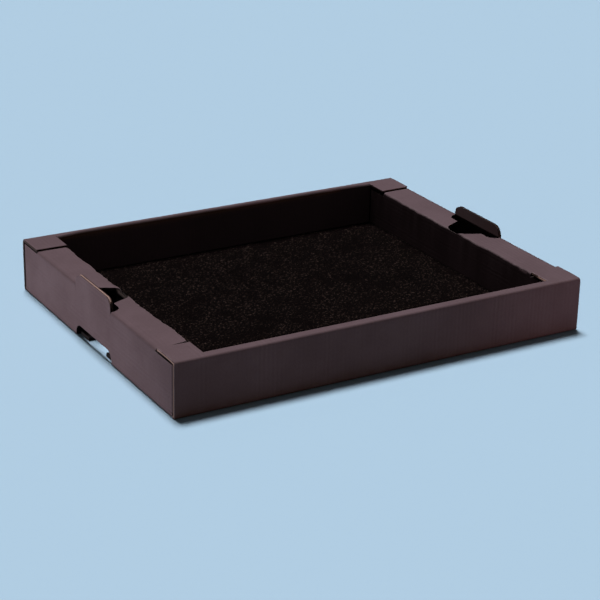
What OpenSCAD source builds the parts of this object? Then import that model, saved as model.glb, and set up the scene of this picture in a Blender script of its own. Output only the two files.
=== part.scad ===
// Foam-lined stacking tray, folded from one sheet of conductive corrugated board.
// Millimetres. Origin at the middle of the underside, X along the length, Z up.
// The tray is one blank: floor, doubled long walls with a strip over the top and a
// flat cap at each corner, and hollow ends with a ledge, a stacking tab and a notch.

/* [Overall] */
// Outside length, end wall to end wall
length = 356; // [240:1:600]
// Outside width, long wall to long wall
width = 279; // [180:1:450]
// Height of the caps and strips, which carry the next tray
height = 44; // [30:1:90]

/* [Board] */
// Thickness of the corrugated board
board = 2.8; // [1.6:0.1:4]
// Outside radius of a creased fold
fold_r = 1.6; // [0.5:0.1:4]
// Space left between two faces of board that only lie together
slack = 0.3; // [0.1:0.05:1]

/* [Long walls] */
// Number of lock tabs under each inner long wall
long_locks = 3; // [1:1:5]
// Length of one of those lock tabs
long_lock_l = 44; // [15:1:70]
// Spacing of those lock tabs
long_lock_pitch = 96; // [75:1:140]

/* [Hollow ends] */
// Width of the ledge, from the outer face to its inner fold
ledge_w = 26.3; // [18:0.1:60]
// How far the ledge lies below the caps
ledge_drop = 1.2; // [0:0.1:3]
// Gap between the end of the ledge and a corner cap
ledge_gap = 1.5; // [0.5:0.5:10]
// Length of a lock tab under the inner end wall
end_lock_l = 40; // [15:1:60]
// Distance of those lock tabs from the middle of the end
end_lock_y = 78; // [55:1:110]
// Reach of the tuck flap inside the long wall
tuck_l = 58; // [20:1:90]
// Space between the tuck flap and the board above and below it
tuck_play = 0.8; // [0.4:0.1:4]

/* [Corner caps] */
// How far a cap reaches past the inner end wall it lies on
cap_over = 0.5; // [0:0.1:3]
// Width of a cap, measured from the long wall's outer face
cap_w = 29; // [18:0.5:60]
// Set-back of a cap's cut edge from the end wall's face
cap_back = 0.4; // [0:0.1:3]

/* [Stacking] */
// Width of the stacking tab
tab_w = 64.5; // [40:0.5:100]
// Height of the tab above the ledge
tab_h = 9.4; // [5:0.1:14]
// Corner radius of the tab
tab_r = 8.5; // [2:0.5:9]
// Room at each side of the tab in the notch of the tray above
stack_play = 0.4; // [0.2:0.1:2]
// Room over the tab in that notch
stack_over = 1.8; // [0.5:0.1:5]
// How much tighter the notch's corners are than the tab's
notch_ease = 0.5; // [0:0.1:2]
// Depth the notch takes out of the floor's edge
notch_in = 3.4; // [3:0.1:6]

/* [Hand holes] */
// Width of the hand hole beside the tab's outline
hole_outer = 35; // [24:1:50]
// Width of the hand hole at its inner side, before its corners are rounded
hole_inner = 19; // [16:1:48]
// Corner radius at that side
hole_r = 6; // [1:0.5:8]
// How far past the inner fold the hand hole is cut
hole_past = 1.2; // [0.2:0.1:2.5]
// Width of the gap in the floor below the hand hole
floor_gap_w = 32; // [16:1:50]
// Floor left between that gap and the inner end wall
floor_gap_land = 3.2; // [1:0.2:10]
// Corner radius of that gap
floor_gap_r = 3; // [0.5:0.5:6]

/* [Foam] */
// Thickness of the foam liner
foam_t = 6.5; // [3:0.5:15]
// Space between the foam and the walls
foam_play = 0.4; // [0.1:0.1:3]

/* [Hidden] */
$fn = 48;
half_l = length / 2;
half_w = width / 2;
rim_w = 3 * board + 2 * slack;          // long wall: outer panel, tuck flap, inner panel
cap_l = ledge_w + cap_over;             // length of a cap, from the end
ledge_end = cap_w + ledge_gap;          // where the ledge starts, from the long face
under_top = height - board;             // underside of caps and strips
cut_top = under_top - slack;            // a raw edge with board lying over it
ledge_top = height - ledge_drop;
ledge_under = ledge_top - board;
hole_low = ledge_under - slack;         // foot of the cut through the ledge
wall_foot = board + slack;              // foot of an inner wall over the floor
side_in = board + slack;                // start of an end wall beside a long wall
crease_take = 0.5;                      // length that the crease takes up
tab_reach = tab_h + crease_take;        // tab outline left in the ledge
notch_w = tab_w + 2 * stack_play;
notch_h = tab_h - ledge_drop + stack_over;
notch_r = tab_r - notch_ease;
floor_gap_in = ledge_w - board - floor_gap_land;
slot_play = 0.6;                        // room around a lock tab in its slot
lock_up = 0.4;                          // a lock tab stops short of the underside
e = 0.01;

// A rectangle from the origin with its corners rounded one by one
module plate(w, h, bl = 0, br = 0, tr = 0, tl = 0) {
    difference() {
        square([w, h]);
        if (bl > 0) corner_bit(bl);
        if (br > 0) translate([w, 0]) mirror([1, 0]) corner_bit(br);
        if (tr > 0) translate([w, h]) mirror([1, 0]) mirror([0, 1]) corner_bit(tr);
        if (tl > 0) translate([0, h]) mirror([0, 1]) corner_bit(tl);
    }
}

// What a radius takes off a square corner at the origin
module corner_bit(r) {
    difference() {
        translate([-1, -1]) square([r + 1, r + 1]);
        translate([r, r]) circle(r);
    }
}

// Stands a drawing of (in from the end, up) along Y, from y0 to y1
module along_y(y0, y1) {
    translate([0, y1, 0]) rotate([90, 0, 0]) linear_extrude(y1 - y0) children();
}

// Stands a drawing of (across, up) along X, from x0 to x1
module along_x(x0, x1) {
    translate([x0, 0, 0]) rotate([90, 0, 90]) linear_extrude(x1 - x0) children();
}

// Both ends, from one drawn with its outer face at x = 0 going inwards
module both_ends() {
    translate([-half_l, 0, 0]) children();
    mirror([1, 0, 0]) translate([-half_l, 0, 0]) children();
}

// Both long sides, from one drawn with its outer face at y = 0 going inwards
module both_sides() {
    translate([0, -half_w, 0]) children();
    mirror([0, 1, 0]) translate([0, -half_w, 0]) children();
}

// Floor, with slots for the lock tabs and a gap below each hand hole
module floor_panel() {
    in = board - 0.3;
    difference() {
        translate([in - half_l, in - half_w, 0]) cube([length - 2 * in, width - 2 * in, board]);
        both_sides() for (i = [0 : long_locks - 1])
            translate([(i - (long_locks - 1) / 2) * long_lock_pitch, rim_w - board / 2, 0])
                slot(long_lock_l, board);
        both_ends() for (s = [-1, 1])
            translate([ledge_w - board / 2, s * end_lock_y, 0]) slot(board, end_lock_l);
    }
}

// Slot through the floor for a lock tab of this size
module slot(a, b) {
    translate([-(a + slot_play) / 2, -(b + slot_play) / 2, -1])
        cube([a + slot_play, b + slot_play, board + 2]);
}

// Long wall: outer panel, strip over the top, inner panel with its lock tabs
module long_wall() {
    along_x(-half_l, half_l) plate(board, height, bl = fold_r, tl = fold_r);
    along_x(-half_l + cap_back, half_l - cap_back) difference() {
        translate([0, under_top]) plate(rim_w, board, tl = fold_r);
        square([board - e, height - fold_r]);
        translate([rim_w - fold_r, height - fold_r]) square(fold_r + 1);
    }
    inner = half_l - ledge_w - slack;
    along_x(-inner, inner) {
        translate([rim_w - board, wall_foot]) plate(board, height - wall_foot, tr = fold_r);
    }
    for (i = [0 : long_locks - 1])
        translate([(i - (long_locks - 1) / 2) * long_lock_pitch - long_lock_l / 2,
                   rim_w - board, lock_up])
            cube([long_lock_l, board, wall_foot + 1 - lock_up]);
}

// Flat caps that carry the strip out over the corners of the hollow ends
module caps() {
    both_ends() both_sides() translate([cap_back, fold_r, under_top])
        linear_extrude(board) plate(cap_l - cap_back, cap_w - fold_r, tr = 1, tl = 1);
}

// End wall, ledge and inner end wall, drawn as one bent strip of board
module end_section() {
    difference() {
        plate(ledge_w, ledge_top, bl = fold_r, tr = fold_r, tl = fold_r);
        translate([board, -1]) square([ledge_w - 2 * board, ledge_under + 1]);
        translate([ledge_w - board - e, -1]) square([board + 1, wall_foot + 1]);
    }
}

// One hollow end, outer face at x = 0
module hollow_end() {
    side = half_w - side_in;
    inner = half_w - rim_w - slack;
    ledge = half_w - ledge_end;
    difference() {
        union() {
            along_y(-ledge, ledge) end_section();
            along_y(-side, side) plate(board, cut_top, bl = fold_r);
            along_y(-inner, inner) translate([ledge_w - board, wall_foot])
                square([board, cut_top - wall_foot]);
        }
        ledge_hole();
        notch();
        both_sides() translate([0, side_in, -1])
            linear_extrude(height + 2) corner_bit(fold_r);
    }
    stacking_tab();
    both_sides() tuck_flap();
    for (s = [-1, 1]) translate([ledge_w - board, s * end_lock_y - end_lock_l / 2, lock_up])
        cube([board, end_lock_l, wall_foot + 1 - lock_up]);
}

// Tab outline and hand hole, cut through the ledge and over its inner fold
module ledge_hole() {
    inside = ledge_w - board;
    translate([0, 0, hole_low]) linear_extrude(board + slack + 1) {
        translate([0, -tab_w / 2]) plate(tab_reach, tab_w, tr = tab_r, br = tab_r);
        intersection() {
            hand_hole();
            translate([0, -tab_w / 2]) square([inside, tab_w]);
        }
    }
    translate([0, 0, ledge_top - hole_past]) linear_extrude(hole_past + 1) intersection() {
        hand_hole();
        translate([inside - e, -tab_w / 2]) square([board + 1, tab_w]);
    }
}

// Hand hole drawn flat: it narrows inwards and has two round corners past the fold
module hand_hole() {
    near = tab_reach - 1;
    far = ledge_w + hole_past;
    lean = atan((hole_outer - hole_inner) / 2 / (far - near));
    cut = hole_r * tan(45 - lean / 2);
    side = [cut * cos(lean), cut * sin(lean)];
    half = hole_inner / 2;
    union() {
        polygon([[near, -hole_outer / 2], [far - side[0], -half - side[1]],
                 [far - hole_r, -half + cut], [far, -half + cut], [far, half - cut],
                 [far - hole_r, half - cut], [far - side[0], half + side[1]],
                 [near, hole_outer / 2]]);
        for (s = [-1, 1]) translate([far - hole_r, s * (half - cut)]) circle(hole_r);
    }
}

// Notch in the foot of the end wall, for the tab of the tray below
module notch() {
    along_x(-1, notch_in) translate([-notch_w / 2, -1])
        plate(notch_w, notch_h + 1, tr = notch_r, tl = notch_r);
}

// The tab carries straight on up from the outer wall
module stacking_tab() {
    along_x(0, board) translate([-tab_w / 2, hole_low - 1])
        plate(tab_w, ledge_top + tab_h - hole_low + 1, tr = tab_r, tl = tab_r);
}

// Flap folded in from the end wall and tucked inside the doubled long wall
module tuck_flap() {
    low = board + tuck_play;
    translate([0, side_in, low]) linear_extrude(cut_top - tuck_play - low)
        plate(tuck_l, board, bl = fold_r, tr = 1);
}

module folded_tray() {
    color([0.32, 0.26, 0.28]) difference() {
        union() {
            floor_panel();
            both_sides() long_wall();
            caps();
            both_ends() hollow_end();
        }
        both_ends() floor_gap();
    }
}

// Gap in the floor between the notch and the inner end wall
module floor_gap() {
    translate([0, 0, -1]) linear_extrude(board + 1 + slack / 2) {
        translate([notch_in - 1, -floor_gap_w / 2])
            plate(floor_gap_in - notch_in + 1, floor_gap_w, tr = floor_gap_r, br = floor_gap_r);
        translate([-1, -notch_w / 2]) square([notch_in + 1, notch_w]);
    }
}

// Soft conductive foam, one flat pad lying on the floor
module foam_liner() {
    long = length - 2 * (ledge_w + foam_play);
    wide = width - 2 * (rim_w + foam_play);
    color([0.08, 0.08, 0.09]) translate([-long / 2, -wide / 2, board])
        cube([long, wide, foam_t]);
}

folded_tray();
foam_liner();
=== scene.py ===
"""Stacking tray folded from dark conductive corrugated board, lined with black foam.

The board is made the way the real one is: flat panels are cut out of the blank, given their
thickness and then folded along their creases. Sheet sizes are in millimetres, finished meshes
in metres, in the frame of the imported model.
"""

import logging
import math
from dataclasses import dataclass, field
from enum import Enum
from typing import Callable, Iterable, Sequence

import bmesh
import bpy
from bmesh.types import BMesh, BMVert
from bpy.types import NodeSocket as Socket
from mathutils import Matrix, Vector, noise


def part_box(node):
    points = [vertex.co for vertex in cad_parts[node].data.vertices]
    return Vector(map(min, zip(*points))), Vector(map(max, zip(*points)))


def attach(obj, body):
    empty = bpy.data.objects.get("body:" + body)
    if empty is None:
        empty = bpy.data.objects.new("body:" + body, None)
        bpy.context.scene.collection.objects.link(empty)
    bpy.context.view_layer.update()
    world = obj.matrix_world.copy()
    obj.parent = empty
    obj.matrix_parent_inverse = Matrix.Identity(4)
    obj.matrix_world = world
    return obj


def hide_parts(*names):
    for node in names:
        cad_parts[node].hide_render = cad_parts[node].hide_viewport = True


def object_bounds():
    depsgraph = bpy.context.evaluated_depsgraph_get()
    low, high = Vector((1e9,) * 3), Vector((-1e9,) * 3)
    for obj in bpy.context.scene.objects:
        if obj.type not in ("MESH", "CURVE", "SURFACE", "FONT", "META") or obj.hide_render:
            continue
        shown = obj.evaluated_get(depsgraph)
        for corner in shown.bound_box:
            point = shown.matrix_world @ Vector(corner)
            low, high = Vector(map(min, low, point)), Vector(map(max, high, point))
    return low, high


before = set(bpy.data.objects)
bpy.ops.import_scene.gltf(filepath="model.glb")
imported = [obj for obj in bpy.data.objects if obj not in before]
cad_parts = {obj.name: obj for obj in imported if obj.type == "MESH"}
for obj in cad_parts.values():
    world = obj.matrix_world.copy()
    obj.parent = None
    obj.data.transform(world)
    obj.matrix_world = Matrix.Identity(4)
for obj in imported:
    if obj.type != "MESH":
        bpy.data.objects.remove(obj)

CAD_LOW, CAD_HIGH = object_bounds()
MM = 0.001  # metres in a millimetre
ROWS_PER_CREASE = 8  # flat strips that stand for one rounded fold
CORNER_CUT = 0.3  # how far a raw edge's corners are broken, in millimetres
LAP = 0.7  # how far a covered sheet goes on under its neighbour, in millimetres
SUNK = 0.03  # how far the covered sheet lies inside it, in millimetres
TAB_RISE = 8.2  # how far a stacking tab stands over the caps, in millimetres
FLAT_GRID, WALL_GRID, RIM_GRID, CRUSHED_GRID = 14.0, 9.0, 6.0, 3.0  # spacing of rows
CLEAR = 4.0  # how far rows keep from the middle of a fold, in millimetres
SMOOTH_ANGLE = math.radians(28)  # an edge that bends less is shaded smooth
FAR = 20.0  # distance of the lamps that stand for low cards of light, in metres
LOG = logging.getLogger("tray")

Point = tuple[float, float]
Triple = tuple[float, float, float]
Window = tuple[float, float, float, float]
Colour = tuple[float, float, float, float]


class Cut(Enum):
    """What a face of the board shows: its liner, or a raw edge and how that edge was cut."""

    LINER = 0
    ACROSS_FLUTES = 1
    ALONG_FLUTES = 2


class Flutes(Enum):
    """The direction in which the flutes run on a flat panel, as drawn."""

    ALONG_RUN = 0
    ALONG_PATH = 1


@dataclass(frozen=True)
class BoardSizes:
    """Sizes of the folded tray in millimetres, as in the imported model.

    Args:
        length: outside length, end wall to end wall.
        width: outside width, long wall to long wall.
        height: height of the caps and strips.
        tab_top: height of the stacking tabs' upper edge.
        board: thickness of the board.
        outer_r: outside radius of a fold.
        inner_r: inside radius of a fold.
        slack: room between two layers that only lie together.
        ledge_end: where a ledge starts, from the long wall's face.
        cap_back: set-back of a cap's cut edge from the end wall's face.
        tab_reach: how far the tab's outline goes on into the ledge.
        notch_in: how far a notch goes on into the floor.
        hole_outer: width of a hand hole beside the tab's outline.
        hole_inner: its width at the inner side, with corners of radius hole_r.
        hole_past: how far it goes on down the inner wall.
        gap_w: width of the floor's gap under it, gap_in from the end wall's face.
        tuck_l: reach of a tuck flap inside the long wall.
        lock_up: how far a lock tab stops short of the underside.
        margin: width of floor or wall that belongs to the next sheet's fold.
        shy: room below or beside a panel that folds past another one.
        taper: length over which a cap's edge draws back at its fold.
        tab_cut: room beside the tab's outline, whose corners are tighter by tab_ease.
    """

    length: float
    width: float
    height: float
    tab_top: float
    board: float = 2.8
    outer_r: float = 1.6
    inner_r: float = 0.3
    slack: float = 0.3
    ledge_w: float = 26.3
    ledge_drop: float = 1.2
    ledge_end: float = 30.5
    cap_w: float = 29.0
    cap_l: float = 26.8
    cap_back: float = 0.4
    tab_w: float = 64.5
    tab_r: float = 8.5
    tab_reach: float = 9.9
    notch_w: float = 65.3
    notch_h: float = 10.0
    notch_r: float = 8.0
    notch_in: float = 3.4
    hole_outer: float = 35.0
    hole_inner: float = 19.0
    hole_r: float = 6.0
    hole_past: float = 1.2
    gap_w: float = 32.0
    gap_in: float = 20.3
    gap_r: float = 3.0
    tuck_l: float = 58.0
    long_lock_l: float = 44.0
    long_lock_pitch: float = 96.0
    end_lock_l: float = 40.0
    end_lock_y: float = 78.0
    lock_up: float = 0.4
    slot_play: float = 0.3
    tuck_play: float = 0.8
    tuck_r: float = 3.0
    cap_r: float = 1.0
    taper: float = 3.5
    tab_cut: float = 0.2
    tab_ease: float = 0.4
    margin: float = 6.0
    shy: float = 0.5

    @property
    def crease_half(self) -> float:
        """Half of the length that a crease takes along the outside of the sheet."""
        return self.board + self.inner_r

    @property
    def rim_w(self) -> float:
        """Width of the strip over a doubled long wall."""
        return 3 * self.board + 2 * self.slack

    @property
    def ledge_top(self) -> float:
        """Height of the ledges, a little below the caps."""
        return self.height - self.ledge_drop

    @property
    def cut_top(self) -> float:
        """Height of a raw edge that other board lies over."""
        return self.height - self.board - self.slack

    @property
    def foot(self) -> float:
        """Height of an inner wall's foot over the underside."""
        return self.board + self.slack


@dataclass(frozen=True)
class Bends:
    """How use has bent the tray, in millimetres. Pairs go left, right or front, rear.

    Args:
        cap_lift: how far a cap's free edge springs up, for each end and side.
        tab_lean: how far a stacking tab leans outwards.
        lean_span: how far under the caps that starts, and the height over which it grows.
        pressed: room left between the rear wall's layers where they are pressed together.
        tight: the share of that which is reached, and how much it falls to the right.
        press_ease: length over which that wall opens again towards its caps.
        ledge_still: width of a ledge that stays flat beside its outer fold.
        wall_still: height of an inner end wall that stays straight.
        waves: for soft waves and for kinks, their scale along a fold and their own noise.
        droop: how far a ledge's inner fold sinks evenly, with the waves and with the kinks.
        wander: how far each ledge's inner fold strays with the waves and with the kinks.
        spring: how far the left ledge stands up beside its front cap.
        spring_from: where that starts, from the middle of the end.
        spring_over: length over which it grows.
    """

    cap_lift: tuple[Point, Point] = ((0.9, 0.35), (0.5, 0.4))
    tab_lean: float = 0.5
    lean_span: Point = (2.0, 10.0)
    pressed: float = 0.2
    tight: Point = (0.88, 0.12)
    press_ease: float = 22.0
    ledge_still: float = 6.0
    wall_still: float = 12.0
    waves: tuple[Triple, Triple] = ((0.045, 3.1, 0.7), (0.16, 5.3, 2.1))
    droop: Triple = (0.2, 0.5, 0.3)
    wander: tuple[Point, Point] = ((1.2, 1.7), (0.8, 0.7))
    spring: float = 1.5
    spring_from: float = 45.0
    spring_over: float = 60.0


def share(part: float, whole: float) -> float:
    """Give a part of a whole, kept between 0 and 1."""
    return max(0.0, min(1.0, part / whole))


def steps(low: float, high: float, size: float) -> list[float]:
    """Divide a stretch evenly, in steps of at most the size, and give the inner points."""
    count = max(1, math.ceil((high - low) / size))
    return [low + (high - low) * i / count for i in range(1, count)]


def mirrored(half: list[Point]) -> list[Point]:
    """Give an outline's left half from its right one, with the order turned round."""
    return [(-run, path) for run, path in reversed(half)]


def rule(bm: BMesh, axis: int, places: Iterable[float], merge: float) -> None:
    """Cut a mesh into strips, so that it can bend.

    Args:
        bm: the mesh.
        axis: 0 to cut across X, 1 to cut across Y.
        places: where to cut.
        merge: the distance at which a cut takes an edge that is there already.
    """
    normal = Vector((float(axis == 0), float(axis == 1), 0.0))
    for at in places:
        bmesh.ops.bisect_plane(
            bm,
            geom=[*bm.verts, *bm.edges, *bm.faces],
            dist=merge,
            plane_co=normal * at,
            plane_no=normal,
        )


def bevel(bm: BMesh, geom: list, offset: float, affect: str, **more: object) -> None:
    """Break some edges or round some corners of a mesh."""
    bmesh.ops.bevel(bm, geom=geom, offset=offset, profile=0.5, affect=affect, material=-1, **more)


def add_object(name: str, data: bpy.types.ID) -> bpy.types.Object:
    """Add an object to the scene.

    Args:
        name: the object's name.
        data: its mesh, lamp or camera.

    Returns:
        The object.
    """
    made = bpy.data.objects.new(name, data)
    bpy.context.scene.collection.objects.link(made)
    return made


def add_mesh(name: str, bm: BMesh) -> bpy.types.Object:
    """Turn a bmesh into an object of the scene, and free it.

    Args:
        name: the object's and the mesh's name.
        bm: the finished shape.

    Returns:
        The object.
    """
    mesh = bpy.data.meshes.new(name)
    bm.to_mesh(mesh)
    bm.free()
    return add_object(name, mesh)


@dataclass(frozen=True)
class FoldPath:
    """The bent section of a sheet: straight runs with a right-angle crease between them.

    Args:
        start: where the outside of the sheet begins, in the plane of the section.
        heading: unit direction in which it sets off; each crease turns it to the right.
        runs: lengths between the sharp corners of the outside.
        sizes: board thickness and fold radii.
        wear_and_shade: what each crease is painted with, from -1 for painted shade to 1 for a pale
            rubbing that also stands for a painted highlight.
    """

    start: Point
    heading: Point
    runs: tuple[float, ...]
    sizes: BoardSizes
    wear_and_shade: tuple[float, ...] = (0.0, 0.0, 0.0)

    def corners(self) -> list[tuple[float, Vector, Vector]]:
        """List each corner's distance along the sheet, its place and the heading into it.

        Returns:
            The start and every corner, in order.
        """
        at, ahead, gone = Vector(self.start), Vector(self.heading), 0.0
        found = [(gone, at.copy(), ahead.copy())]
        for run in self.runs[:-1]:
            at, gone = at + ahead * run, gone + run
            found.append((gone, at.copy(), ahead.copy()))
            ahead = Vector((ahead.y, -ahead.x))
        return found

    def rows(self) -> list[float]:
        """List the rows of edges that a sheet needs to bend smoothly.

        Returns:
            Their distances along the sheet.
        """
        half = self.sizes.crease_half
        return [
            gone - half + 2 * half * i / ROWS_PER_CREASE
            for gone, _, _ in self.corners()[1:]
            for i in range(ROWS_PER_CREASE + 1)
        ]

    def place(self, along: float, depth: float) -> tuple[Vector, float]:
        """Bend one point of the flat sheet into the section.

        Args:
            along: distance along the outside of the flat sheet.
            depth: distance from the outside face into the board.

        Returns:
            The point in the section, and the crease's paint there, below zero for shade and above
            for highlight.
        """
        half = self.sizes.crease_half
        corners = self.corners()
        for wear_and_shade, (gone, corner, ahead) in zip(self.wear_and_shade, corners[1:]):
            if abs(along - gone) <= half:
                point = self._in_crease(along - gone, depth, corner, ahead)
                return point, wear_and_shade * (1.0 - abs(along - gone) / half)
        gone, corner, ahead = [c for c in corners if c[0] <= max(along, 0.0) + 1e-6][-1]
        if gone > 0:
            ahead = Vector((ahead.y, -ahead.x))
        inward = Vector((ahead.y, -ahead.x))
        return corner + ahead * (along - gone) + inward * depth, 0.0

    def _in_crease(self, off: float, depth: float, corner: Vector, ahead: Vector) -> Vector:
        """Bend a point that lies in a crease, along rays from the crease's inner side.

        Args:
            off: distance along the sheet from the middle of the crease.
            depth: distance from the outside face into the board.
            corner: the sharp corner that the crease stands for.
            ahead: the heading into the corner.

        Returns:
            The point in the section.
        """
        half, outer = self.sizes.crease_half, self.sizes.outer_r
        inward = Vector((ahead.y, -ahead.x))
        angle = math.radians(90.0) * (off + half) / (2 * half)
        sin, cos = math.sin(angle), math.cos(angle)
        flat, both = half - outer, sin + cos
        if half * sin <= flat * cos:
            reach = half / cos
        elif half * cos <= flat * sin:
            reach = half / sin
        else:
            reach = flat * both + math.sqrt((flat * both) ** 2 - 2 * flat**2 + outer**2)
        reach += (self.sizes.inner_r - reach) * depth / self.sizes.board
        pivot = corner - ahead * half + inward * half
        return pivot + (ahead * sin - inward * cos) * reach


Folding = Callable[[float, float, float], tuple[Vector, float]]
Blank = Callable[[float, float], Point]


@dataclass
class Sheet:
    """A panel of the blank, cut out flat, given its thickness and then folded.

    Args:
        outline: the cut line, as corners in (run, path) millimetres.
        rounds: corner radii by index into the outline.
        flutes: the direction of the flutes as drawn.
        rows: path distances that need a row of edges.
        columns: run distances that need a column of edges.
        windows: rectangles to leave out, as (low run, low path, high run, high path).
        dim: how much painted shade darkens its raw edges, 0 to 1.
        clean_from: the path distance past which its raw edges get no painted shade.
        deep: whether its inner side gets the deeper painted shade.
        rub_highlight: how pale the outer corner of its raw edges is painted, 0 to 1, a rubbing
            that also stands for a painted highlight.
    """

    outline: Sequence[Point]
    board: float
    rounds: dict[int, float] = field(default_factory=dict)
    flutes: Flutes = Flutes.ALONG_RUN
    rows: Sequence[float] = ()
    columns: Sequence[float] = ()
    windows: Sequence[Window] = ()
    dim: float = 0.0
    clean_from: float = math.inf
    deep: bool = False
    rub_highlight: float = 0.0

    def make(self, place: Folding, blank: Blank) -> BMesh:
        """Make the folded sheet.

        Args:
            place: takes run, path and depth, and gives the point in metres and the crease.
            blank: takes run and path, and gives the place on the whole blank in metres.

        Returns:
            A closed mesh with its faces pointing outwards.
        """
        bm = self._cut_out()
        self._thicken(bm)
        self._mark(bm, blank)
        self._fold(bm, place)
        return bm

    def _cut_out(self) -> BMesh:
        """Cut the flat shape, round its corners, rule it and take out its windows.

        Returns:
            The flat shape.
        """
        bm = bmesh.new()
        corners = [bm.verts.new((run, path, 0.0)) for run, path in self.outline]
        bm.faces.new(corners)
        for index, radius in self.rounds.items():
            bevel(bm, [corners[index]], radius, "VERTICES", segments=10)
        edges_x = {x for w in self.windows for x in (w[0], w[2])}
        edges_y = {y for w in self.windows for y in (w[1], w[3])}
        rule(bm, 0, sorted({*self.columns, *edges_x}), merge=1e-4)
        rule(bm, 1, sorted({*self.rows, *edges_y}), merge=1e-4)
        gone = [f for f in bm.faces if self._in_window(f.calc_center_median())]
        bmesh.ops.delete(bm, geom=gone, context="FACES")
        return bm

    def _in_window(self, at: Vector) -> bool:
        """Tell whether a flat point lies in one of the windows."""
        return any(w[0] < at.x < w[2] and w[1] < at.y < w[3] for w in self.windows)

    def _thicken(self, bm: BMesh) -> None:
        """Give the flat shape its thickness, with the raw edges slightly broken.

        Args:
            bm: the flat shape.
        """
        made = bmesh.ops.extrude_face_region(bm, geom=bm.faces[:])
        up = [v for v in made["geom"] if isinstance(v, BMVert)]
        bmesh.ops.translate(bm, verts=up, vec=(0.0, 0.0, self.board))
        bmesh.ops.recalc_face_normals(bm, faces=bm.faces[:])
        bm.normal_update()
        rims = [
            e
            for e in bm.edges
            if len(e.link_faces) == 2
            and (abs(e.link_faces[0].normal.z) > 0.5) != (abs(e.link_faces[1].normal.z) > 0.5)
        ]
        bevel(bm, rims, CORNER_CUT, "EDGES", segments=1, clamp_overlap=True)
        bm.normal_update()

    def _mark(self, bm: BMesh, blank: Blank) -> None:
        """Write each face's cut and its two patterns' coordinates while the sheet is flat.

        Args:
            bm: the flat sheet.
            blank: takes run and path, and gives the place on the whole blank in metres.
        """
        sheet_uv = bm.loops.layers.uv.new("blank")
        edge_uv = bm.loops.layers.uv.new("edge")
        along_path = self.flutes is Flutes.ALONG_PATH
        for face in bm.faces:
            normal = face.normal
            if abs(normal.z) < 0.3:
                crossing = abs(normal.y if along_path else normal.x) > 0.7
                face.material_index = (Cut.ACROSS_FLUTES if crossing else Cut.ALONG_FLUTES).value
            for loop in face.loops:
                run, path, depth = loop.vert.co
                loop[sheet_uv].uv = blank(run, path)
                loop[edge_uv].uv = (
                    (normal.x * path - normal.y * run) * MM,
                    depth / self.board,
                )

    def _fold(self, bm: BMesh, place: Folding) -> None:
        """Bend the marked sheet into its place.

        Args:
            bm: the flat sheet.
            place: takes run, path and depth, and gives the point in metres and the crease.
        """
        crease, inner, dim = (
            bm.verts.layers.float.new(name) for name in ("crease", "inner", "dim")
        )
        # Marks for painted light: inner gives the inner side painted shade, dim darkens raw edges
        # with painted shade, and crease carries each fold's paint, shade below zero and pale
        # rubbing with a highlight above.
        for vert in bm.verts:
            if vert.co.z > self.board / 2:
                vert[inner] = 2.0 if self.deep else 1.0
            vert[dim] = self.dim if vert.co.y < self.clean_from else 0.0
            corner = 1e-4 < vert.co.z < self.board / 2
            vert.co, vert[crease] = place(*vert.co)
            # A broken corner of a raw edge gets the sheet's pale rubbing with its painted
            # highlight.
            if corner:
                vert[crease] = self.rub_highlight
        bmesh.ops.recalc_face_normals(bm, faces=bm.faces[:])
        for face in bm.faces:
            face.smooth = True
        bm.normal_update()
        for edge in bm.edges:
            faces = edge.link_faces
            edge.smooth = len(faces) == 2 and (
                faces[0].normal.length > 0.5
                and faces[1].normal.length > 0.5
                and faces[0].normal.angle(faces[1].normal) < SMOOTH_ANGLE
            )


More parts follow.
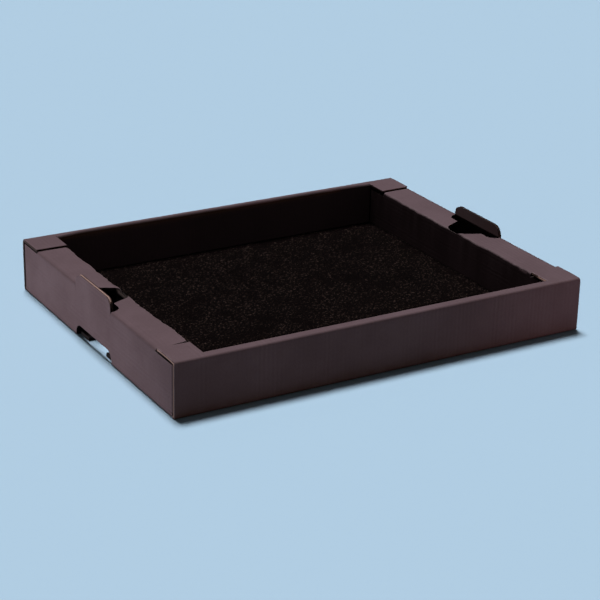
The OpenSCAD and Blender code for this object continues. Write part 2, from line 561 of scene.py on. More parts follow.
class NodeTree:
    """A short way to write the node tree of one material."""

    def __init__(self, name: str) -> None:
        """Start a material with a Principled shader.

        Args:
            name: the material's name.
        """
        self.material = bpy.data.materials.new(name)
        self.material.use_nodes = True
        self.nodes = self.material.node_tree.nodes
        self.links = self.material.node_tree.links
        self.shader = next(n for n in self.nodes if n.type == "BSDF_PRINCIPLED")

    def add(self, kind: str, settings: dict | None = None, **inputs: object) -> bpy.types.Node:
        """Add a node.

        Args:
            kind: the node's type.
            settings: properties of the node.
            **inputs: a value or an output for each input, by name with _ for a blank.

        Returns:
            The node.
        """
        node = self.nodes.new(kind)
        for key, value in (settings or {}).items():
            setattr(node, key, value)
        for key, value in inputs.items():
            socket = int(key[1:]) if key[1:].isdigit() else key.replace("_", " ")
            self.put(node.inputs[socket], value)
        return node

    def put(self, socket: Socket, value: object) -> None:
        """Link an output to a socket, or set the socket's own value.

        Args:
            socket: the socket.
            value: an output, a plain value, or None to leave the socket as it is.
        """
        if isinstance(value, Socket):
            self.links.new(value, socket)
        elif value is not None:
            socket.default_value = value

    def math(self, operation: str, a: object, b: object = 0.0) -> Socket:
        """Add a Math node and return its output."""
        return self.add("ShaderNodeMath", {"operation": operation}, i0=a, i1=b).outputs[0]

    def times(self, a: object, b: object) -> Socket:
        """Multiply two numbers."""
        return self.math("MULTIPLY", a, b)

    def ramp(self, value: Socket, low: float, high: float) -> Socket:
        """Map a value from low and high to 0 and 1, smoothly and clamped."""
        smooth, ends = {"interpolation_type": "SMOOTHSTEP"}, {"From Min": low, "From Max": high}
        return self.add("ShaderNodeMapRange", smooth, Value=value, **ends).outputs[0]

    def remap(self, value: Socket, target: Point, start: float = 0.0) -> Socket:
        """Map a value from start and 1 to the two target values, evenly."""
        ends = {"From Min": start, "To Min": target[0], "To Max": target[1]}
        return self.add("ShaderNodeMapRange", None, Value=value, **ends).outputs[0]

    def mix(self, amount: object, a: object, b: object) -> Socket:
        """Mix two colours and return the result."""
        return self.add("ShaderNodeMix", {"data_type": "RGBA"}, i0=amount, i6=a, i7=b).outputs[2]

    def scaled(self, colour: object, amount: Socket) -> Socket:
        """Make a colour lighter or darker."""
        scale = {"operation": "SCALE"}
        return self.add("ShaderNodeVectorMath", scale, i0=colour, Scale=amount).outputs[0]

    def split(self, vector: Socket) -> tuple[Socket, Socket]:
        """Take the first two parts of a coordinate."""
        parts = self.add("ShaderNodeSeparateXYZ", None, Vector=vector).outputs
        return parts[0], parts[1]

    def mark(self, name: str) -> Socket:
        """Read a number that the mesh carries at its corners."""
        return self.add("ShaderNodeAttribute", {"attribute_name": name}).outputs["Fac"]

    def pattern(self, name: str) -> Socket:
        """Read the coordinates of one of the mesh's patterns."""
        return self.add("ShaderNodeUVMap", {"uv_map": name}).outputs[0]

    def place(self) -> Socket:
        """Read the place on the object."""
        return self.add("ShaderNodeTexCoord").outputs["Object"]

    def noise(
        self, vector: Socket, scale: float, detail: float = 3.0, rough: float = 0.55
    ) -> Socket:
        """Add a noise texture and return its value."""
        sizes = {"Scale": scale, "Detail": detail, "Roughness": rough}
        return self.add("ShaderNodeTexNoise", None, Vector=vector, **sizes).outputs[0]

    def bump(
        self, height: Socket, strength: float, distance: float, normal: Socket | None = None
    ) -> Socket:
        """Add a bump over another one and return the normal."""
        sizes = {"Strength": strength, "Distance": distance, "Normal": normal}
        return self.add("ShaderNodeBump", None, Height=height, **sizes).outputs[0]

    def stretched(self, vector: Socket, x: float, y: float) -> Socket:
        """Scale a flat coordinate differently along its axes."""
        return self.add("ShaderNodeMapping", None, Vector=vector, Scale=(x, y, 1.0)).outputs[0]

    def finish(
        self, colour: Socket, roughness: object, specular: float, normal: Socket | None = None
    ) -> bpy.types.Material:
        """Connect the shader.

        Args:
            colour: the base colour.
            roughness: a value or an output.
            specular: the specular level.
            normal: the bumped normal, if there is one.

        Returns:
            The finished material.
        """
        for socket, value in (
            ("Base Color", colour),
            ("Roughness", roughness),
            ("Specular IOR Level", specular),
            ("Normal", normal),
        ):
            self.put(self.shader.inputs[socket], value)
        return self.material


@dataclass(frozen=True)
class LinerFinish:
    """Dark carbon-loaded liner with faint washboard lines over the flutes.

    Args:
        tone: the usual colour.
        pale: the colour of its paler clouds.
        worn_highlight: the pale colour of a scuffed fold, real rubbing that also stands for a
            painted highlight.
        back: painted shade, a far darker colour for the sheet's inner side.
        deep: painted shade, the colour of a shaded fold and of an inner side that lies in the
            dark.
        line_pitch: distance between washboard lines, in metres.
        line_wander: how far they stray to each side, in metres.
        line_shade: how dark and how light they make the colour.
        fleck_shade: how dark and how light the fibres make it.
        roughness: the usual roughness.
        gloss: how much rougher the usual colour and the paler clouds are.
        specular: the specular level.
    """

    tone: Colour = (0.071, 0.0438, 0.0473, 1.0)
    pale: Colour = (0.082, 0.0510, 0.0555, 1.0)
    worn_highlight: Colour = (0.160, 0.120, 0.120, 1.0)
    back: Colour = (0.0075, 0.0020, 0.0023, 1.0)
    deep: Colour = (0.006, 0.0030, 0.003, 1.0)
    line_pitch: float = 0.0036
    line_wander: float = 0.0012
    line_shade: Point = (0.93, 1.04)
    fleck_shade: Point = (0.80, 1.20)
    roughness: float = 0.7
    gloss: Point = (0.07, -0.05)
    specular: float = 0.06

    def build(self) -> bpy.types.Material:
        """Build the material.

        Returns:
            The finished material.
        """
        tree = NodeTree("conductive_liner")
        sheet, place = tree.pattern("blank"), tree.place()
        lines = self._washboard(tree, sheet)
        clouds = tree.ramp(tree.noise(place, 22.0, 4.0, 0.6), 0.32, 0.72)
        fibres = tree.noise(tree.stretched(sheet, 1500.0, 420.0), 1.0, 3.0, 0.7)
        shade = tree.times(
            tree.remap(lines, self.line_shade, start=-1.0), tree.remap(fibres, self.fleck_shade)
        )
        colour = tree.scaled(tree.mix(clouds, self.tone, self.pale), shade)
        # Paint the folds by their crease mark: pale rubbing with a painted highlight, or painted
        # shade.
        colour = self._fold_rubbing_and_shade(tree, colour, place)
        # Painted shade: the inner side goes dark as back, and an inner side that lies in the dark
        # goes darker still as deep.
        inner = tree.mark("inner")
        colour = tree.mix(tree.ramp(inner, 0.0, 1.0), colour, self.back)
        colour = tree.mix(tree.ramp(inner, 1.0, 2.0), colour, self.deep)
        rough = tree.remap(clouds, tuple(self.roughness + more for more in self.gloss))
        normal = tree.bump(tree.noise(place, 9.0, 2.0), 0.6, 0.004)
        normal = tree.bump(lines, 0.2, 0.00012, normal)
        normal = tree.bump(fibres, 0.25, 0.00008, normal)
        return tree.finish(colour, rough, self.specular, normal)

    def _washboard(self, tree: NodeTree, sheet: Socket) -> Socket:
        """Rule wandering lines along the flutes, clear in some places and lost in others.

        Args:
            tree: the material's node tree.
            sheet: the place on the blank.

        Returns:
            The height of the lines, from -1 to 1.
        """
        wander = tree.times(tree.noise(sheet, 60.0, 2.0), self.line_wander)
        across = tree.math("ADD", tree.split(sheet)[0], wander)
        turn = tree.times(across, 2 * math.pi / self.line_pitch)
        patchy = tree.ramp(tree.noise(tree.stretched(sheet, 90.0, 9.0), 1.0, 2.0), 0.35, 0.75)
        return tree.times(tree.math("SINE", turn), patchy)

    def _fold_rubbing_and_shade(self, tree: NodeTree, colour: Socket, place: Socket) -> Socket:
        """Paint the folds whose crease mark is above zero pale in patches, a rubbing that also
        stands for a painted highlight, and paint shade on those below zero.

        Args:
            tree: the material's node tree.
            colour: the colour without wear.
            place: the place on the object.

        Returns:
            The colour with its pale rubbing, painted highlight and painted shade.
        """
        crease = tree.mark("crease")
        patches = tree.ramp(tree.noise(place, 160.0, 3.0, 0.65), 0.30, 0.62)
        rub_highlight = tree.times(tree.ramp(crease, 0.1, 0.6), patches)
        colour = tree.mix(rub_highlight, colour, self.worn_highlight)
        # Painted shade on the folds whose crease mark is below zero.
        fold_shade = tree.ramp(tree.times(crease, -1.0), 0.0, 0.9)
        return tree.mix(tree.times(fold_shade, 0.6), colour, self.deep)


@dataclass(frozen=True)
class RawEdgeFinish:
    """Cut edge of the board: two dark liners with brown fluting paper between them.

    Args:
        across: whether the cut crosses the flutes, so that their waves show.
        paper: colour of the cut paper.
        hollow: painted shade, the colour of the dark space between the papers.
        liner: colour of the two liners' edges.
        shade: painted shade, the colour of an edge that lies deep in the dark.
        flute_pitch: distance from one flute to the next, in metres.
        flute_rise: height of a flute's wave to each side, as a share of the thickness.
        streak: how dark and how light the frayed fibres make the colour.
        roughness: the roughness.
        specular: the specular level.
    """

    across: bool
    paper: Colour = (0.205, 0.128, 0.106, 1.0)
    hollow: Colour = (0.014, 0.007, 0.006, 1.0)
    liner: Colour = (0.026, 0.012, 0.010, 1.0)
    shade: Colour = (0.006, 0.004, 0.004, 1.0)
    flute_pitch: float = 0.0072
    flute_rise: float = 0.33
    streak: Point = (0.62, 1.30)
    roughness: float = 0.85
    specular: float = 0.06

    def build(self) -> bpy.types.Material:
        """Build the material.

        Returns:
            The finished material.
        """
        tree = NodeTree("raw_edge_across" if self.across else "raw_edge_along")
        edge = tree.pattern("edge")
        along, depth = tree.split(edge)
        off = tree.math("ABSOLUTE", tree.math("SUBTRACT", depth, 0.5))
        frayed = tree.noise(tree.stretched(edge, 900.0, 3.0), 1.0, 3.0, 0.7)
        if self.across:
            wave = tree.math("SINE", tree.times(along, 2 * math.pi / self.flute_pitch))
            ripple = tree.math("ADD", tree.times(wave, self.flute_rise), 0.5)
            gap = tree.math("ABSOLUTE", tree.math("SUBTRACT", depth, ripple))
            paper = tree.math("SUBTRACT", 1.0, tree.ramp(gap, 0.07, 0.14))
        else:
            wobble = tree.times(tree.math("SUBTRACT", frayed, 0.5), 0.30)
            paper = tree.math(
                "SUBTRACT", 1.0, tree.ramp(tree.math("ADD", off, wobble), 0.16, 0.30)
            )
        rim = tree.ramp(off, 0.32, 0.40)
        # The hollows between the papers get painted shade.
        colour = tree.mix(paper, self.hollow, self.paper)
        colour = tree.mix(rim, colour, self.liner)
        # Painted shade on the edges, by their dim mark.
        colour = tree.mix(tree.mark("dim"), colour, self.shade)
        colour = tree.scaled(colour, tree.remap(frayed, self.streak))
        normal = tree.bump(tree.math("MAXIMUM", paper, rim), 0.6, 0.0004)
        normal = tree.bump(frayed, 0.4, 0.0002, normal)
        return tree.finish(colour, self.roughness, self.specular, normal)


@dataclass(frozen=True)
class FoamFinish:
    """Black fine-celled foam, with painted shade inside its cells and small painted glints on some
    cell walls.

    Args:
        body: painted shade, the colour inside the cells.
        wall: colour of the cell walls.
        painted_glint: painted glint, the colour of a wall that catches the light.
        cell: size of a cell, in metres.
        roughness: the roughness.
        specular: the specular level.
    """

    body: Colour = (0.0010, 0.0005, 0.0005, 1.0)
    wall: Colour = (0.0030, 0.0017, 0.0016, 1.0)
    painted_glint: Colour = (0.036, 0.023, 0.019, 1.0)
    cell: float = 0.0011
    roughness: float = 0.95
    specular: float = 0.01

    def build(self) -> bpy.types.Material:
        """Build the material.

        Returns:
            The finished material.
        """
        tree = NodeTree("conductive_foam")
        place = tree.place()
        cells = tree.add(
            "ShaderNodeTexVoronoi",
            {"feature": "DISTANCE_TO_EDGE"},
            Vector=place,
            Scale=1.0 / self.cell,
        ).outputs["Distance"]
        walls = tree.math("SUBTRACT", 1.0, tree.ramp(cells, 0.02, 0.22))
        grain = tree.ramp(tree.noise(place, 560.0, 2.0, 0.6), 0.56, 0.70)
        # Painted glints of light on some cell walls.
        glint_spots = tree.times(grain, tree.ramp(tree.noise(place, 70.0), 0.30, 0.62))
        # Painted shade inside the cells.
        colour = tree.mix(walls, self.body, self.wall)
        colour = tree.mix(glint_spots, colour, self.painted_glint)
        normal = tree.bump(walls, 0.7, 0.0003)
        normal = tree.bump(tree.noise(place, 260.0, 3.0), 0.5, 0.0004, normal)
        return tree.finish(colour, self.roughness, self.specular, normal)


@dataclass(frozen=True)
class FloorFinish:
    """Smooth pale blue studio paper.

    Args:
        tone: the paper's colour.
        cloud: how dark and how light its faint clouds are.
        roughness: the roughness.
    """

    tone: Triple = (0.286, 0.378, 0.454)
    cloud: Point = (0.995, 1.005)
    roughness: float = 0.9

    def build(self) -> bpy.types.Material:
        """Build the material.

        Returns:
            The finished material.
        """
        tree = NodeTree("studio_paper")
        clouds = tree.remap(tree.noise(tree.place(), 3.0, 2.0), self.cloud)
        return tree.finish(tree.scaled(self.tone, clouds), self.roughness, 0.0)


@dataclass
class FoldedBoard:
    """The whole folded tray: floor, long walls with caps, hollow ends and tuck flaps.

    Args:
        sizes: the tray's sizes.
        bends: how use has bent it.
        sheets: the folded sheets, as they are made.
    """

    sizes: BoardSizes
    bends: Bends = Bends()
    sheets: list[BMesh] = field(default_factory=list)

    def build(self) -> bpy.types.Object:
        """Make every sheet, join them and dress the result.

        Returns:
            The finished object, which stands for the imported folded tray.
        """
        self._floor()
        for side in (-1, 1):
            self._long_wall(side)
            self._end_wall(side)
            self._ledge(side)
            for corner in (-1, 1):
                self._tuck_flap(side, corner)
        return self._join()

    def _join(self) -> bpy.types.Object:
        """Join the sheets in one object with the board's three finishes.

        Returns:
            The object.
        """
        whole = bmesh.new()
        for sheet in self.sheets:
            part = bpy.data.meshes.new("sheet")
            sheet.to_mesh(part)
            sheet.free()
            whole.from_mesh(part)
            bpy.data.meshes.remove(part)
        board = add_mesh("folded_board", whole)
        for finish in (LinerFinish(), RawEdgeFinish(across=True), RawEdgeFinish(across=False)):
            board.data.materials.append(finish.build())
        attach(board, "root")
        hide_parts("folded_tray")
        return board

    def _lock_slots(self) -> list[Window]:
        """List the slots that the lock tabs go through.

        Returns:
            The windows to leave out of the floor.
        """
        s = self.sizes
        middles: list[tuple[float, ...]] = []
        thick = s.board / 2
        for side in (-1, 1):
            y = side * (s.width / 2 - s.rim_w + s.board / 2)
            x = side * (s.length / 2 - s.ledge_w + s.board / 2)
            middles += [(i * s.long_lock_pitch, y, s.long_lock_l / 2, thick) for i in (-1, 0, 1)]
            middles += [(x, i * s.end_lock_y, thick, s.end_lock_l / 2) for i in (-1, 1)]
        play = s.slot_play
        return [
            (x - (wide + play), y - high - play, x + (wide + play), y + high + play)
            for x, y, wide, high in middles
        ]

    def _floor(self) -> None:
        """Make the floor, with the gaps under the hand holes and the lock tabs' slots."""
        s = self.sizes
        hx, hy = s.length / 2 - s.margin + LAP, s.width / 2 - s.margin + LAP
        edge, deep = s.length / 2 - s.notch_in, s.length / 2 - s.gap_in
        n, g = s.notch_w / 2, s.gap_w / 2
        right = [(hx, -hy), (hx, -n), (edge, -n), (edge, -g), (deep, -g)]
        right += [(x, -y) for x, y in reversed(right)]
        outline = right + [(-x, -y) for x, y in right]
        sheet = Sheet(
            outline,
            s.board,
            rounds={4: s.gap_r, 5: s.gap_r, 14: s.gap_r, 15: s.gap_r},
            flutes=Flutes.ALONG_PATH,
            rows=steps(-hy, hy, FLAT_GRID),
            columns=steps(-hx, hx, FLAT_GRID),
            windows=self._lock_slots(),
            # Painted shade on its raw edges and, deeper, on its inner side.
            dim=1.0,
            deep=True,
        )

        def place(run: float, path: float, depth: float) -> tuple[Vector, float]:
            """Lay the floor flat."""
            return Vector((run, path, depth + SUNK)) * MM, 0.0

        self.sheets.append(sheet.make(place, lambda run, path: (run * MM, path * MM)))

    def _long_wall(self, side: int) -> None:
        """Make a long wall with its strip, inner wall and caps.

        Args:
            side: -1 for the front wall, 1 for the rear one.
        """
        s = self.sizes
        hx, m = s.length / 2, s.margin
        runs = (m, s.height, s.rim_w, s.height - s.foot)
        # Crease paint: the foot fold and the strip's outer fold get painted shade; the strip's
        # inner fold gets painted shade at the rear and a pale rubbing with a painted highlight at
        # the front.
        rim_wear_and_shade = 0.2 if side < 0 else -1.0
        wall = FoldPath((m, 0.0), (-1.0, 0.0), runs, s, wear_and_shade=(-0.4, -0.3, rim_wear_and_shade))
        cap = FoldPath((m, 0.0), (-1.0, 0.0), (m, s.height, s.cap_w), s, wear_and_shade=(-0.4, -0.3))
        top = m + s.height
        low_crease, cap_end = m - s.crease_half, top + s.cap_w
        slit = top + s.rim_w - s.crease_half
        foot = top + s.rim_w + s.height - s.foot
        tip = foot + s.foot - s.lock_up
        cap_x = hx - s.cap_l
        inner_x = cap_x - s.slack
        half = [
            (hx - m, 0.0),
            (hx - m, low_crease),
            (hx, low_crease),
            (hx, top - s.taper),
            (hx - s.cap_back, top),
            (hx - s.cap_back, cap_end),
            (cap_x, cap_end),
            (cap_x, slit),
            (inner_x, slit),
            (inner_x, foot),
        ]
        locks: list[Point] = []
        for i in (1, 0, -1):
            x, h = i * s.long_lock_pitch, s.long_lock_l / 2
            locks += [(x + h, foot), (x + h, tip), (x - h, tip), (x - h, foot)]
        outline = half + locks + mirrored(half)
        last = len(outline) - 1
        sheet = Sheet(
            outline,
            s.board,
            rounds=dict.fromkeys((5, 6, last - 5, last - 6), s.cap_r),
            flutes=Flutes.ALONG_PATH,
            rows=[*wall.rows(), *cap.rows(), *steps(m + CLEAR, top - CLEAR, WALL_GRID)],
            columns=steps(-hx, hx, RIM_GRID),
            # Painted shade on the raw edges: light on the front wall's face and none above it,
            # dark on the rear wall. Pale rubbing with a painted highlight on the broken corners,
            # strong at the front.
            dim=0.35 if side < 0 else 0.85,
            clean_from=top - 1.0 if side < 0 else math.inf,
            rub_highlight=1.0 if side < 0 else 0.1,
        )
        flap = cap_x - s.slack / 2

        def place(run: float, path: float, depth: float) -> tuple[Vector, float]:
            """Fold the wall, or lay the cap flat beyond the inner wall.

            Args:
                run: distance along the fold.
                path: distance across it.
                depth: distance into the board.

            Returns:
                The point in metres, and the crease's paint there.
            """
            section = cap if abs(run) > flap else wall
            at, crease = section.place(path, depth)
            lift = self._cap_lift(run, at.x, side) if at.y > s.height - CLEAR else 0.0
            squeeze = self._squeeze(run, at.x, at.y) if side > 0 else 0.0
            y = side * (s.width / 2 - at.x + squeeze)
            return Vector((run, y, at.y + lift)) * MM, crease

        def blank(run: float, path: float) -> Point:
            """Give the place on the blank."""
            return run * MM, side * (s.width / 2 - m + path) * MM

        self.sheets.append(sheet.make(place, blank))

    def _squeeze(self, run: float, inward: float, up: float) -> float:
        """Press the rear wall's two layers together between its caps.

        Args:
            run: distance along the tray.
            inward: distance in from the long wall's face.
            up: height over the underside.

        Returns:
            How far the point moves outwards, in millimetres.
        """
        s, room = self.sizes, self.sizes.rim_w - 2 * self.sizes.board
        across = share(inward - s.board, room)
        high = share(up - s.foot, s.height - s.foot)
        clear = share(s.length / 2 - s.cap_l - abs(run), self.bends.press_ease)
        close, fall = self.bends.tight
        tight = close - fall * run / (s.length / 2)
        return (room - self.bends.pressed) * (across * high * clear) * tight

    def _cap_lift(self, run: float, inward: float, side: int) -> float:
        """Raise the free edge of a cap a little, as pressed board springs back.

        Args:
            run: distance along the tray.
            inward: distance in from the long wall's face.
            side: -1 at the front, 1 at the rear.

        Returns:
            The height to add, in millimetres.
        """
        s = self.sizes
        out = (abs(run) - (s.length / 2 - s.cap_l)) / s.cap_l
        if out <= 0:
            return 0.0
        amount = self.bends.cap_lift[int(run > 0)][int(side > 0)]
        return amount * out**1.5 * math.sin(math.pi * min(1.0, inward / s.cap_w) * 0.8)

    def _end_wall(self, end: int) -> None:
        """Make an outer end wall with its stacking tab and notch.

        Args:
            end: -1 for the left end, 1 for the right one.
        """
        s = self.sizes
        m, hy = s.margin, s.width / 2
        # The foot fold gets painted shade.
        path = FoldPath((m, 0.0), (-1.0, 0.0), (m, s.tab_top), s, wear_and_shade=(-0.4,))
        side = hy - s.board - s.slack - s.shy
        near = side - m
        ledge, seam = hy - s.ledge_end, s.ledge_top
        n, t = s.notch_w / 2, s.tab_w / 2
        low, cut, tip = m + s.foot + s.shy, m + s.cut_top, m + s.tab_top
        half = [
            (n, 0.0),
            (side, 0.0),
            (side, low),
            (near, low),
            (near, cut),
            (ledge, cut),
            (ledge, seam),
            (t, seam),
            (t, tip),
        ]
        outline = half + mirrored(half)
        outline += [(-n, m + s.notch_h), (n, m + s.notch_h)]
        sheet = Sheet(
            outline,
            s.board,
            rounds={8: s.tab_r, 9: s.tab_r, 18: s.notch_r, 19: s.notch_r},
            rows=[*path.rows(), *steps(m + CLEAR, m + s.height, RIM_GRID)],
            columns=steps(-side, side, WALL_GRID),
            # Painted shade on the raw edges, except on the left tab's top; pale rubbing with a
            # painted highlight on the left wall's broken corners.
            dim=0.9,
            clean_from=tip - s.taper if end < 0 else math.inf,
            rub_highlight=0.8 if end < 0 else 0.0,
        )

        def place(run: float, along: float, depth: float) -> tuple[Vector, float]:
            """Fold the wall up from the floor, with its tab leaning outwards a little."""
            at, crease = path.place(along, depth)
            return Vector((end * (s.length / 2 - at.x - self._lean(at.y)), run, at.y)) * MM, crease

        def blank(run: float, along: float) -> Point:
            """Give the place on the blank."""
            return end * (s.length / 2 - m + along) * MM, run * MM

        self.sheets.append(sheet.make(place, blank))

    def _lean(self, up: float) -> float:
        """Give how far a stacking tab leans outwards at a height, in millimetres."""
        below, over = self.bends.lean_span
        return self.bends.tab_lean * max(0.0, (up - self.sizes.height + below) / over) ** 1.5

    def _ledge(self, end: int) -> None:
        """Make a ledge with its hand hole, and the inner end wall that hangs from it.

        Args:
            end: -1 for the left end, 1 for the right one.
        """
        s = self.sizes
        m, hy = s.margin, s.width / 2
        runs = (m, s.ledge_w, s.ledge_top - s.foot)
        # The outer fold gets painted shade, the inner fold a pale rubbing with a painted
        # highlight.
        path = FoldPath((SUNK, s.ledge_top - m), (0.0, 1.0), runs, s, wear_and_shade=(-0.6, 0.3))
        ledge, inner = hy - s.ledge_end, hy - s.rim_w - s.slack
        fold = m + s.ledge_w
        under, foot = fold + s.crease_half, fold + s.ledge_top - s.foot
        tip = foot + s.foot - s.lock_up
        t, reach = s.tab_w / 2 + s.tab_cut, m + s.tab_reach
        tab_r = s.tab_r - s.tab_ease
        a, b = s.end_lock_y + s.end_lock_l / 2, s.end_lock_y - s.end_lock_l / 2
        hole = [
            (s.hole_inner / 2, fold + s.hole_past),
            (s.hole_outer / 2, reach),
            (t, reach),
            (t, -LAP),
        ]
        half = hole + [(ledge, -LAP), (ledge, under), (inner, under), (inner, foot)]
        half += [(a, foot), (a, tip), (b, tip), (b, foot)]
        outline = half + mirrored(half)
        last = len(outline) - 1
        sheet = Sheet(
            outline,
            s.board,
            rounds={0: s.hole_r, 2: tab_r, last - 2: tab_r, last: s.hole_r},
            rows=[
                *path.rows(),
                *steps(m + CLEAR, fold - CRUSHED_GRID, CLEAR),
                *steps(under, foot, WALL_GRID),
            ],
            columns=steps(-inner, inner, CRUSHED_GRID),
            # Painted shade on the raw edges and, deeper, on the inner side; pale rubbing with a
            # painted highlight on the broken corners.
            dim=0.92,
            deep=True,
            rub_highlight=0.8,
        )

        def place(run: float, along: float, depth: float) -> tuple[Vector, float]:
            """Fold the ledge over and its inner wall down."""
            at, crease = path.place(along, depth)
            return self._sagged(run, at, end) * MM, crease

        def blank(run: float, along: float) -> Point:
            """Give the place on the blank."""
            return end * (s.length / 2 + s.height - m + along) * MM, run * MM

        self.sheets.append(sheet.make(place, blank))

    def _sagged(self, run: float, at: Vector, end: int) -> Vector:
        """Let a ledge's inner fold droop and wander, as crushed board does.

        At the front of the left end the board springs up beside the cap instead.

        Args:
            run: distance across the tray.
            at: distance in from the end wall's face, and height over the underside.
            end: -1 at the left end, 1 at the right one.

        Returns:
            The moved point of the tray, in millimetres.
        """
        s, b = self.sizes, self.bends
        reach = max(0.0, (at.x - b.ledge_still) / (s.ledge_w - b.ledge_still))
        high = share(at.y - b.wall_still, s.ledge_top - b.wall_still)
        wave, small = (
            noise.noise(Vector((run * scale, end * row, layer))) for scale, row, layer in b.waves
        )
        even, with_wave, with_small = b.droop
        sink = reach**2 * high * (even + with_wave * wave + with_small * small)
        soft, kinks = b.wander[int(end > 0)]
        shove = reach * high * (soft * wave + kinks * small)
        beside_cap = share(-run - b.spring_from, b.spring_over) if end < 0 else 0.0
        spring = b.spring * min(1.0, reach) * high * beside_cap
        sink = max(0.0, sink) * (1 - beside_cap) - spring
        return Vector((end * (s.length / 2 - at.x - shove), run, at.y - sink))

    def _tuck_flap(self, end: int, side: int) -> None:
        """Make the flap folded in from an end wall and tucked into a long wall.

        Args:
            end: -1 for the left end, 1 for the right one.
            side: -1 at the front, 1 at the rear.
        """
        s = self.sizes
        m = s.margin
        path = FoldPath((SUNK, -m), (0.0, 1.0), (m, s.tuck_l), s)
        low, high, flap = s.foot + s.shy, s.cut_top, s.cut_top - s.tuck_play
        wide, tip = m + s.crease_half, m + s.tuck_l
        sheet = Sheet(
            [(low, -LAP), (high, -LAP), (high, wide), (flap, wide), (flap, tip), (low, tip)],
            s.board,
            rounds={4: s.tuck_r, 5: s.tuck_r},
            flutes=Flutes.ALONG_PATH,
            rows=path.rows(),
            columns=steps(low, high, WALL_GRID),
            # Its raw edges get full painted shade.
            dim=1.0,
        )
        edge = s.width / 2 - s.board - s.slack

        def place(run: float, along: float, depth: float) -> tuple[Vector, float]:
            """Fold the flap in from the end wall."""
            at, crease = path.place(along, depth)
            return Vector((end * (s.length / 2 - at.x), side * (edge + at.y), run)) * MM, crease

        def blank(run: float, along: float) -> Point:
            """Give the place on the blank."""
            return end * (s.length / 2 + run) * MM, side * (edge - m + along) * MM

        self.sheets.append(sheet.make(place, blank))


@dataclass
class FoamLiner:
    """The soft pad of black foam that lies on the floor.

    Args:
        low: its lowest corner, in metres.
        high: its highest corner, in metres.
        grid: spacing of the rows that its top can dip in, in metres.
        ripple: depth of the dips, in metres.
        lumps: how many broad and fine lumps there are to a metre.
        edge: how far its edges are broken, in metres.
    """

    low: Vector
    high: Vector
    grid: float = 0.0035
    ripple: float = 0.00025
    lumps: Point = (28.0, 95.0)
    edge: float = 0.0006

    def build(self) -> bpy.types.Object:
        """Make the pad and dress it.

        Returns:
            The finished pad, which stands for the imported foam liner.
        """
        size, middle = self.high - self.low, (self.high + self.low) / 2
        bm = bmesh.new()
        bmesh.ops.create_cube(bm, size=1.0)
        bmesh.ops.scale(bm, vec=size, verts=bm.verts)
        bmesh.ops.translate(bm, vec=middle, verts=bm.verts)
        bevel(bm, bm.edges[:], self.edge, "EDGES", segments=2)
        for axis in (0, 1):
            rule(bm, axis, steps(self.low[axis], self.high[axis], self.grid), merge=1e-7)
        for vert in bm.verts:
            self._soften(vert, middle.z)
        bmesh.ops.recalc_face_normals(bm, faces=bm.faces[:])
        for face in bm.faces:
            face.smooth = True
        pad = add_mesh("foam_pad", bm)
        pad.data.materials.append(FoamFinish().build())
        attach(pad, "root")
        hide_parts("foam_liner")
        return pad

    def _soften(self, vert: BMVert, middle: float) -> None:
        """Dip the top a little here and there, and leave the underside flat on the floor.

        Args:
            vert: one of the pad's corners.
            middle: the height of the pad's middle.
        """
        if vert.co.z < middle:
            return
        broad, fine = (noise.noise(vert.co * scale) for scale in self.lumps)
        vert.co.z += self.ripple * min(0.0, broad + 0.5 * fine - 0.3)


def bearing(azimuth: float, elevation: float) -> Vector:
    """Give the unit vector to a bearing in degrees, 0 for -Y and 90 for +X, and a height."""
    az, el = math.radians(azimuth), math.radians(elevation)
    return Vector((math.sin(az) * math.cos(el), -math.cos(az) * math.cos(el), math.sin(el)))


@dataclass(frozen=True)
class Lamp:
    """A lamp of the studio.

    Args:
        name: its name.
        strength: the light that it gives where it is aimed.
        azimuth: its bearing in degrees.
        elevation: its height over the horizon in degrees.
        tint: its colour.
    """

    name: str
    strength: float
    azimuth: float
    elevation: float
    tint: Triple

    def hang(self, kind: str) -> tuple[bpy.types.Object, Vector]:
        """Add a lamp that shines from its bearing.

        Args:
            kind: the type of light.

        Returns:
            The lamp, and the direction in which it stands.
        """
        data = bpy.data.lights.new(self.name, kind)
        data.color = self.tint
        lamp, out = add_object(self.name, data), bearing(self.azimuth, self.elevation)
        lamp.rotation_mode = "QUATERNION"
        lamp.rotation_quaternion = out.to_track_quat("Z", "Y")
        return lamp, out


@dataclass(frozen=True)
class SoftBox(Lamp):
    """A far lamp that lights everything.

    Args:
        spread: its angular size in degrees.
    """

    spread: float

    def build(self) -> None:
        """Hang the lamp."""
        lamp, out = self.hang("SUN")
        lamp.data.energy, lamp.data.angle = self.strength, math.radians(self.spread)
        lamp.location = out * 2.0


@dataclass(frozen=True)
class LowCard(Lamp):
    """A far lamp with a narrow soft beam, low enough to miss the tray's inside.

    Args:
        aim: the point that it lights, in metres.
        reach: how far from that point its light ends, in metres.
    """

    aim: Triple
    reach: float

    def build(self) -> None:
        """Hang the lamp."""
        lamp, out = self.hang("SPOT")
        lamp.data.energy = self.strength * 4 * math.pi * FAR**2
        lamp.data.spot_size, lamp.data.spot_blend = 2 * math.atan(self.reach / FAR), 1.0
        lamp.data.shadow_soft_size = 0.05
        lamp.location = Vector(self.aim) + out * FAR


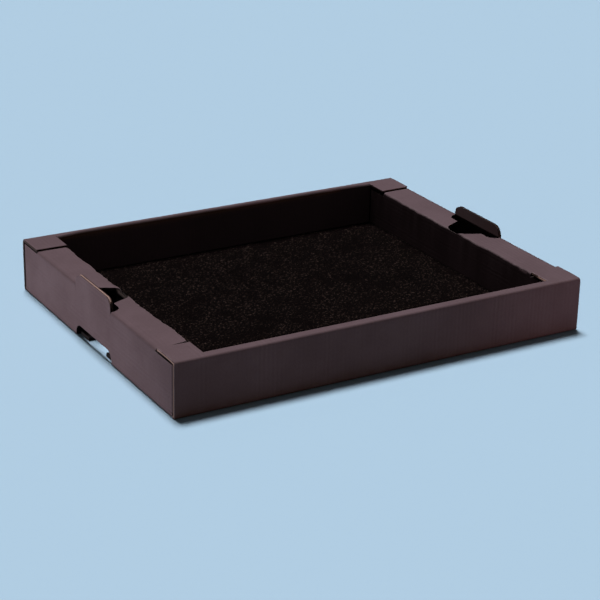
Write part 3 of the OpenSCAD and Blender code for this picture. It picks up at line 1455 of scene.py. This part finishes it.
@dataclass(frozen=True)
class Studio:
    """The floor, the lights and the camera.

    Args:
        azimuth: the camera's bearing in degrees.
        elevation: its height over the horizon in degrees.
        roll: its turn about its own axis in degrees.
        lens: focal length in millimetres.
        sensor: width of the sensor in millimetres.
        place: where the camera stands, in metres.
        floor_half: half of the floor's width, in metres.
        floor_gap: how far the floor lies below the tray, in metres.
        surround: strength of the dim light from all around.
        lamps: a soft box over the back, a warm glow in front and a low card beside each end.
    """

    azimuth: float = -30.33
    elevation: float = 22.20
    roll: float = 1.24
    lens: float = 111.54
    sensor: float = 36.0
    place: Triple = (-0.700, -1.2035, 0.576)
    floor_half: float = 6.0
    floor_gap: float = 0.0002
    surround: float = 0.07
    lamps: tuple[SoftBox | LowCard, ...] = (
        SoftBox("key", 4.77, 171.5, 75.0, (1.0, 1.05, 1.10), spread=15.0),
        SoftBox("front_glow", 0.31, 18.0, 0.4, (1.0, 0.52, 0.02), spread=1.5),
        LowCard(
            "left_card", 4.0, -125.0, 0.15, (1.0, 0.95, 0.97), (-0.178, 0.1395, 0.02), reach=0.345
        ),
        LowCard(
            "right_card", 1.06, 35.0, 0.15, (1.0, 0.62, 0.68), (0.26, -0.1395, 0.02), reach=0.18
        ),
    )

    def build(self) -> None:
        """Set up the whole studio."""
        self._camera()
        self._floor()
        for lamp in self.lamps:
            lamp.build()
        self._surround()
        scene = bpy.context.scene
        scene.view_settings.view_transform = "Standard"
        scene.view_settings.look = "None"

    def _camera(self) -> None:
        """Stand the camera at the viewing angle."""
        back, roll = bearing(self.azimuth, self.elevation), math.radians(self.roll)
        across = Vector((0.0, 0.0, 1.0)).cross(back).normalized()
        up = back.cross(across)
        right = across * math.cos(roll) + up * math.sin(roll)
        above = up * math.cos(roll) - across * math.sin(roll)
        data = bpy.data.cameras.new("camera")
        data.lens, data.sensor_width = self.lens, self.sensor
        data.clip_start, data.clip_end = 0.05, 50.0
        camera = add_object("camera", data)
        camera.matrix_world = Matrix((right, above, back)).transposed().to_4x4()
        camera.location = self.place
        bpy.context.scene.camera = camera

    def _floor(self) -> None:
        """Lay the plain floor under the tray."""
        bm = bmesh.new()
        bmesh.ops.create_grid(bm, x_segments=4, y_segments=4, size=self.floor_half)
        bmesh.ops.translate(bm, vec=(0.0, 0.0, CAD_LOW.z - self.floor_gap), verts=bm.verts)
        floor = add_mesh("floor", bm)
        floor.data.materials.append(FloorFinish().build())

    def _surround(self) -> None:
        """Light everything dimly from all around."""
        world = bpy.data.worlds.new("surround")
        world.use_nodes = True
        back = world.node_tree.nodes["Background"]
        back.inputs["Color"].default_value = (1.0, 1.0, 1.0, 1.0)
        back.inputs["Strength"].default_value = self.surround
        bpy.context.scene.world = world


def tray_sizes() -> BoardSizes:
    """Read the tray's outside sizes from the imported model.

    Returns:
        The sizes in millimetres.
    """
    low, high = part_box("folded_tray")
    tab_top = (high[2] - low[2]) / MM
    return BoardSizes(
        length=(high[0] - low[0]) / MM,
        width=(high[1] - low[1]) / MM,
        height=tab_top - TAB_RISE,
        tab_top=tab_top,
    )


def report(pieces: Iterable[bpy.types.Object]) -> None:
    """Log each piece's size and face count.

    Args:
        pieces: the finished objects.
    """
    for piece in pieces:
        size = [round(v / MM, 1) for v in piece.dimensions]
        LOG.info("%s: %s mm, %d faces", piece.name, size, len(piece.data.polygons))


def main() -> None:
    """Build the studio and the tray."""
    logging.basicConfig(level=logging.INFO, format="%(name)s %(message)s")
    Studio().build()
    board = FoldedBoard(tray_sizes()).build()
    low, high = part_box("foam_liner")
    foam = FoamLiner(Vector(low), Vector(high)).build()
    bpy.context.view_layer.update()
    report((board, foam))


if __name__ == "__main__":
    main()
